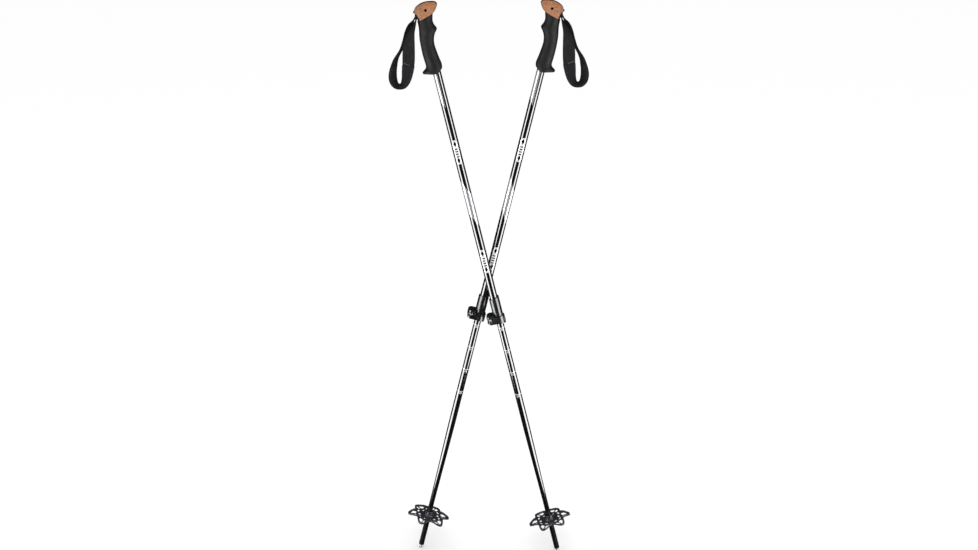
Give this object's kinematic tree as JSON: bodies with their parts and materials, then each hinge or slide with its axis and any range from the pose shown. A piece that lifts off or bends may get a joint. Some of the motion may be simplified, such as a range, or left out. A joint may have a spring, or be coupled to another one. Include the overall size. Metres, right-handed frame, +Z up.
{
  "type": "trekking poles",
  "caption": "Crossed pair of two-section trekking poles with cork heads, wrist straps, lever locks and six-pointed baskets.",
  "frame": {"origin": "on the ground between the two tips, below the crossing", "axes": "+X towards the right-hand tip, of pole a; +Y from pole a to pole b, away from the viewer; +Z up"},
  "size_m": [0.386, 0.1006, 1.1713],
  "materials": {
    "black_anodised": null,
    "black_anodised_lower": "gloss black with white length rings and numbers",
    "grip_rubber": "matte moulded rubber, fine grain",
    "cork": "speckled natural cork",
    "black_plastic": "satin",
    "dark_steel": "blackened",
    "webbing": "woven black webbing",
    "padding": "soft knitted lining",
    "lock_plastic": "semi gloss charcoal",
    "liner_plastic": "matte grey",
    "steel": "satin",
    "ferrule_plastic": "satin black",
    "carbide": "sintered grey",
    "basket_plastic": "satin charcoal"
  },
  "bodies": {
    "upper_a": {"upper_tube_a": "black_anodised", "grip_a": "grip_rubber", "head_core_a": "black_plastic", "cork_cheek_l_a": "cork", "cork_cheek_r_a": "cork", "head_bolt_a": "dark_steel", "head_nut_a": "dark_steel", "strap_tail_a": "webbing", "lock_collar_a": "lock_plastic", "clamp_liner_a": "liner_plastic", "pivot_barrel_a": "steel", "barrel_nut_a": "steel"},
    "lower_a": {"lower_tube_a": "black_anodised_lower", "guide_bush_a": "liner_plastic", "tip_ferrule_a": "ferrule_plastic", "carbide_tip_a": "carbide"},
    "lever_a": {"lock_lever_a": "lock_plastic"},
    "screw_a": {"tension_screw_a": "steel"},
    "wedge_a": {"strap_wedge_a": "black_plastic"},
    "wrist_strap_a": {"strap_a": "webbing", "strap_pad_a": "padding"},
    "basket_a": {"basket_a": "basket_plastic"},
    "upper_b": {"upper_tube_b": "black_anodised", "grip_b": "grip_rubber", "head_core_b": "black_plastic", "cork_cheek_l_b": "cork", "cork_cheek_r_b": "cork", "head_bolt_b": "dark_steel", "head_nut_b": "dark_steel", "strap_tail_b": "webbing", "lock_collar_b": "lock_plastic", "clamp_liner_b": "liner_plastic", "pivot_barrel_b": "steel", "barrel_nut_b": "steel"},
    "lower_b": {"lower_tube_b": "black_anodised_lower", "guide_bush_b": "liner_plastic", "tip_ferrule_b": "ferrule_plastic", "carbide_tip_b": "carbide"},
    "lever_b": {"lock_lever_b": "lock_plastic"},
    "screw_b": {"tension_screw_b": "steel"},
    "wedge_b": {"strap_wedge_b": "black_plastic"},
    "wrist_strap_b": {"strap_b": "webbing", "strap_pad_b": "padding"},
    "basket_b": {"basket_b": "basket_plastic"}
  },
  "joints": [
    {"name": "poles_apart", "type": "slide", "parent": "upper_a", "child": "upper_b", "axis": [0, 1, 0], "range_m": [0, 0.25]},
    {"name": "telescope_a", "type": "slide", "parent": "upper_a", "child": "lower_a", "axis": [-0.23, 0, 0.9732], "range_m": [-0.2, 0.24]},
    {"name": "lever_flip_a", "type": "hinge", "parent": "upper_a", "child": "lever_a", "pos_m": [0.0029, -0.01465, 0.52759], "axis": [0.23, 0, -0.9732], "range_deg": [0, 130]},
    {"name": "screw_turn_a", "type": "hinge", "parent": "upper_a", "child": "screw_a", "pos_m": [0.0029, -0.00815, 0.52759], "axis": [0, -1, 0], "range_deg": [-180, 180]},
    {"name": "wedge_pull_a", "type": "slide", "parent": "upper_a", "child": "wedge_a", "axis": [-0.9732, 0, -0.23], "range_m": [0, 0.005]},
    {"name": "strap_swing_a", "type": "hinge", "parent": "upper_a", "child": "wrist_strap_a", "pos_m": [-0.13881, -0.00815, 1.13715], "axis": [0, 1, 0], "range_deg": [0, 45]},
    {"name": "basket_turn_a", "type": "hinge", "parent": "lower_a", "child": "basket_a", "pos_m": [0.12653, -0.00815, 0.07849], "axis": [-0.23, 0, 0.9732], "continuous": true},
    {"name": "telescope_b", "type": "slide", "parent": "upper_b", "child": "lower_b", "axis": [0.23, 0, 0.9732], "range_m": [-0.2, 0.24]},
    {"name": "lever_flip_b", "type": "hinge", "parent": "upper_b", "child": "lever_b", "pos_m": [-0.03598, 0.00165, 0.53541], "axis": [-0.23, 0, -0.9732], "range_deg": [0, 130]},
    {"name": "screw_turn_b", "type": "hinge", "parent": "upper_b", "child": "screw_b", "pos_m": [-0.03598, 0.00815, 0.53541], "axis": [0, -1, 0], "range_deg": [-180, 180]},
    {"name": "wedge_pull_b", "type": "slide", "parent": "upper_b", "child": "wedge_b", "axis": [0.9732, 0, -0.23], "range_m": [0, 0.005]},
    {"name": "strap_swing_b", "type": "hinge", "parent": "upper_b", "child": "wrist_strap_b", "pos_m": [0.13881, 0.00815, 1.13715], "axis": [0, -1, 0], "range_deg": [0, 45]},
    {"name": "basket_turn_b", "type": "hinge", "parent": "lower_b", "child": "basket_b", "pos_m": [-0.12653, 0.00815, 0.07849], "axis": [0.23, 0, 0.9732], "continuous": true}
  ]
}
